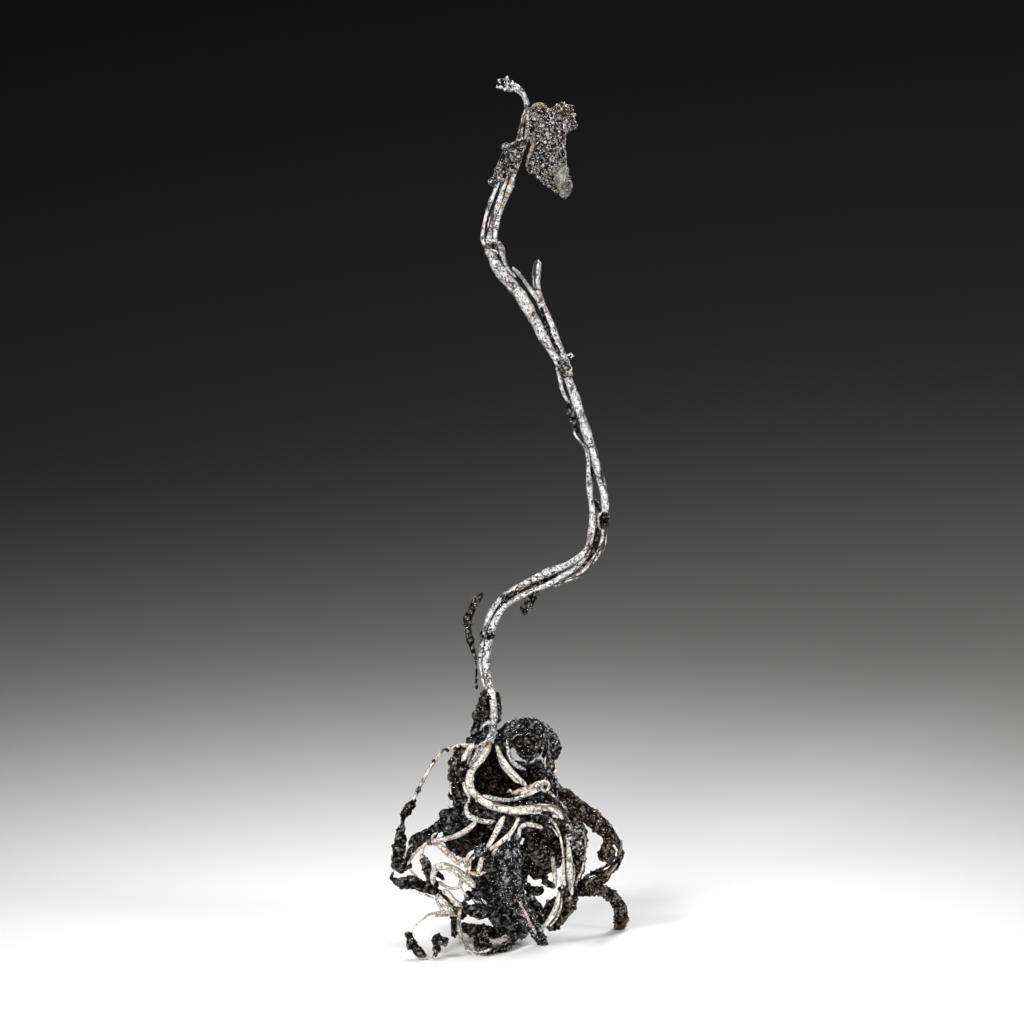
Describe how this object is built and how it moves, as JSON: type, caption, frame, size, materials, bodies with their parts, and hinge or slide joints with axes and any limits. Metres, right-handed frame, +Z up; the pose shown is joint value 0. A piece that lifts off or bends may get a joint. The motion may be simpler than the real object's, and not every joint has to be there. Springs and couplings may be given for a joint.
{
  "type": "native silver",
  "caption": "Standing native silver specimen: a tangle of silver wires under black acanthite crust, with a long S-curved stem of silver strands and a crusted clump on top.",
  "frame": {"origin": "centre of the specimen's box on the surface it rests on", "axes": "+Z up along the long stem, +X to the right and +Y to the back as the specimen is usually shown"},
  "size_m": [0.024, 0.0176, 0.0874],
  "materials": {
    "bright_silver": "bright native silver, fine grooves along the wire, lightly tarnished",
    "cream_silver": "warm cream native silver with fine crystal ridges",
    "green_silver": "native silver with a pale greenish-yellow tarnish",
    "copper_silver": "native silver with a pink to coppery tarnish",
    "grey_crust": "dark grey glittering crust of tiny acanthite crystals",
    "black_crust": "black lumpy acanthite crust with small bright facets",
    "brown_crust": "brown-black acanthite crust with golden flecks"
  },
  "bodies": {
    "root": {"stem": "bright_silver", "top_tip": "bright_silver", "top_clump": "grey_crust", "hanging_twig": "black_crust", "dark_twig": "black_crust", "coil": "grey_crust", "coil_column": "grey_crust", "left_arch": "black_crust", "white_stub": "bright_silver", "white_bend_wire": "cream_silver", "upper_thin_wire": "bright_silver", "cream_ring_wire": "cream_silver", "green_white_wire": "green_silver", "small_arc": "bright_silver", "cavity_crust": "black_crust", "crust_band_wire": "black_crust", "left_thin_wire": "black_crust", "left_low_wire": "black_crust", "left_arm": "black_crust", "pink_wire": "copper_silver", "lavender_wire": "bright_silver", "green_cream_wire": "green_silver", "orange_wire": "copper_silver", "grey_arc": "bright_silver", "hair_wire": "black_crust", "centre_knot": "cream_silver", "arch_wire": "cream_silver", "centre_crust": "black_crust", "heart_crust": "black_crust", "front_column": "grey_crust", "middle_crust": "grey_crust", "dark_leaf": "black_crust", "lower_crust": "grey_crust", "lower_bar": "black_crust", "bottom_loop": "black_crust", "black_post": "black_crust", "low_green_wire": "green_silver", "right_arm": "brown_crust", "inner_parallel_wire": "bright_silver", "right_inner_column": "black_crust", "inner_silver_wire": "bright_silver", "cream_strand": "cream_silver", "right_bridge": "brown_crust", "leaf_lump": "black_crust", "lower_right_column": "brown_crust", "silver_strip": "cream_silver", "yellow_green_wire": "green_silver", "thin_black_wire": "black_crust", "right_tail": "brown_crust", "rear_left_crust": "black_crust", "rear_foot_wire": "black_crust", "rear_right_wire": "grey_crust", "rear_left_wire": "brown_crust", "rear_cross_wire": "cream_silver", "rear_top_wire": "grey_crust", "rear_low_wire": "black_crust", "rear_side_wire": "brown_crust", "rear_left_branch": "black_crust", "rear_middle_wire": "bright_silver"}
  },
  "joints": []
}
